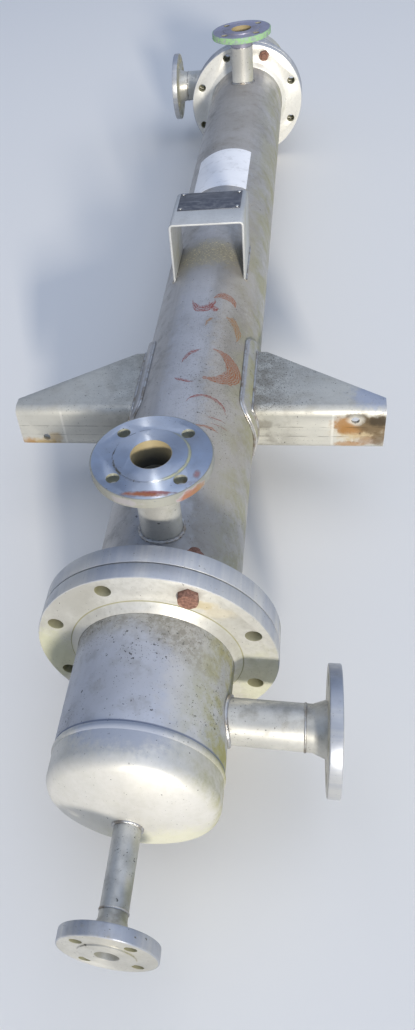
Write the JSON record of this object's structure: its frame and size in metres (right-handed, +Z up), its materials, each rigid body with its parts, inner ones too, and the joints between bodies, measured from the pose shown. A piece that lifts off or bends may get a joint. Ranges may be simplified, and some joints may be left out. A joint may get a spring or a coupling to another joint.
{
  "type": "shell and tube heat exchanger",
  "caption": "Long stainless steel shell and tube heat exchanger lying on its end flanges, with dished bonnets, pipe nozzles with flanges, side support lugs and a nameplate bracket.",
  "frame": {"origin": "on the ground under the vessel axis, midway between the faces of the two end nozzles", "axes": "+Y along the vessel axis towards the far end, +X to the right as seen from the near end, +Z up"},
  "size_m": [0.664, 2.9388, 0.42],
  "materials": {
    "shell_steel": "weathered rolled stainless steel pipe with water marks, dust and green algae in streaks",
    "machined_steel": "turned stainless steel flange faces, dulled, with grime round the holes",
    "plate_steel": "rolled stainless steel plate, stained and speckled",
    "tube_steel": "drawn stainless steel tube, dull",
    "gasket": "compressed fibre sheet, dark grey",
    "rusty_bolts": "carbon steel gone brown with rust",
    "dark_plate": "dark anodised blank plate, scuffed"
  },
  "bodies": {
    "root": {"shell": "shell_steel", "near_tubesheet": "machined_steel", "far_tubesheet": "machined_steel", "tube_bundle": "tube_steel", "near_gasket": "gasket", "far_gasket": "gasket", "near_bonnet_flange": "machined_steel", "far_bonnet_flange": "machined_steel", "near_bonnet_barrel": "shell_steel", "far_bonnet_barrel": "shell_steel", "near_head": "shell_steel", "far_head": "shell_steel", "near_end_pipe": "shell_steel", "far_end_pipe": "shell_steel", "near_end_flange": "machined_steel", "far_end_flange": "machined_steel", "near_side_pipe": "shell_steel", "far_side_pipe": "shell_steel", "near_side_flange": "machined_steel", "far_side_flange": "machined_steel", "near_top_pipe": "shell_steel", "far_top_pipe": "shell_steel", "near_top_flange": "machined_steel", "far_top_flange": "machined_steel", "left_lug_pad": "plate_steel", "right_lug_pad": "plate_steel", "left_lug": "plate_steel", "right_lug": "plate_steel", "nameplate_bracket": "plate_steel", "nameplate": "dark_plate", "near_bolts": "rusty_bolts", "far_bolts": "rusty_bolts", "near_nuts": "rusty_bolts", "far_nuts": "rusty_bolts"}
  },
  "joints": []
}
